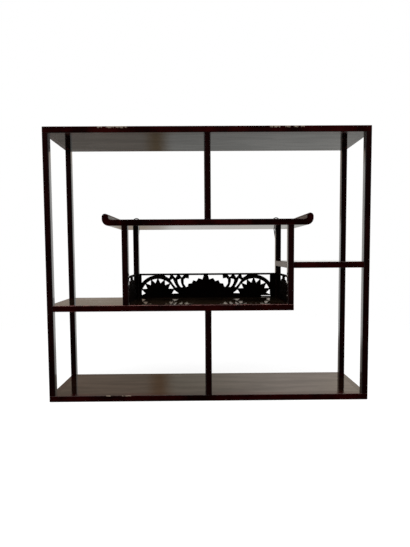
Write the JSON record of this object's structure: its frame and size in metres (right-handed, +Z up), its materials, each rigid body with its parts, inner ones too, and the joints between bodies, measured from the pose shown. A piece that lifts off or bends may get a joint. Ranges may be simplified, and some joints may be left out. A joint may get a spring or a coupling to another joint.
{
  "type": "etagere",
  "caption": "Lacquered hardwood display etagere of slim square bars with staggered shelves, a rolled-end shelf, a pierced gallery and wire hanging loops.",
  "frame": {"origin": "middle of the base's under face", "axes": "+X to the right along the width, +Y to the back, +Z up"},
  "size_m": [0.5, 0.112, 0.424],
  "materials": {
    "frame_lacquer": "dark oxblood gloss lacquer over rosewood, edges a little worn",
    "panel_lacquer": "dark oxblood gloss lacquer on flush boards",
    "fretwork_lacquer": "near-black satin lacquer on pierced board",
    "loop_wire": "aged dull wire",
    "screw_metal": "aged brass"
  },
  "bodies": {
    "etagere": {"base_front_rail": "frame_lacquer", "base_rear_rail": "frame_lacquer", "base_left_rail": "frame_lacquer", "base_right_rail": "frame_lacquer", "base_panel": "panel_lacquer", "top_front_rail": "frame_lacquer", "top_rear_rail": "frame_lacquer", "top_left_rail": "frame_lacquer", "top_right_rail": "frame_lacquer", "top_panel": "panel_lacquer", "front_left_post": "frame_lacquer", "front_right_post": "frame_lacquer", "rear_left_post": "frame_lacquer", "rear_right_post": "frame_lacquer", "middle_shelf_front_rail": "frame_lacquer", "middle_shelf_rear_rail": "frame_lacquer", "middle_shelf_left_rail": "frame_lacquer", "middle_shelf_end_rail": "frame_lacquer", "middle_shelf_panel": "panel_lacquer", "scroll_shelf_front_rail": "frame_lacquer", "scroll_shelf_rear_rail": "frame_lacquer", "scroll_shelf_left_end": "frame_lacquer", "scroll_shelf_right_end": "frame_lacquer", "scroll_shelf_panel": "panel_lacquer", "inner_front_left_post": "frame_lacquer", "inner_front_right_post": "frame_lacquer", "inner_rear_left_post": "frame_lacquer", "inner_rear_right_post": "frame_lacquer", "lower_front_centre_post": "frame_lacquer", "lower_rear_centre_post": "frame_lacquer", "upper_front_centre_post": "frame_lacquer", "upper_rear_centre_post": "frame_lacquer", "side_shelf_front_rail": "frame_lacquer", "side_shelf_rear_rail": "frame_lacquer", "side_shelf_inner_rail": "frame_lacquer", "side_shelf_outer_rail": "frame_lacquer", "side_shelf_panel": "panel_lacquer", "gallery_rear_board": "fretwork_lacquer", "gallery_left_board": "fretwork_lacquer", "gallery_right_board": "fretwork_lacquer", "hanger_screws": "screw_metal"},
    "left_loop": {"left_hanging_loop": "loop_wire"},
    "right_loop": {"right_hanging_loop": "loop_wire"}
  },
  "joints": [
    {"name": "left_loop_swivel", "type": "hinge", "parent": "etagere", "child": "left_loop", "pos_m": [-0.128, 0.0551, 0.249], "axis": [0, 1, 0], "continuous": true},
    {"name": "right_loop_swivel", "type": "hinge", "parent": "etagere", "child": "right_loop", "pos_m": [0.128, 0.0551, 0.249], "axis": [0, 1, 0], "continuous": true}
  ]
}
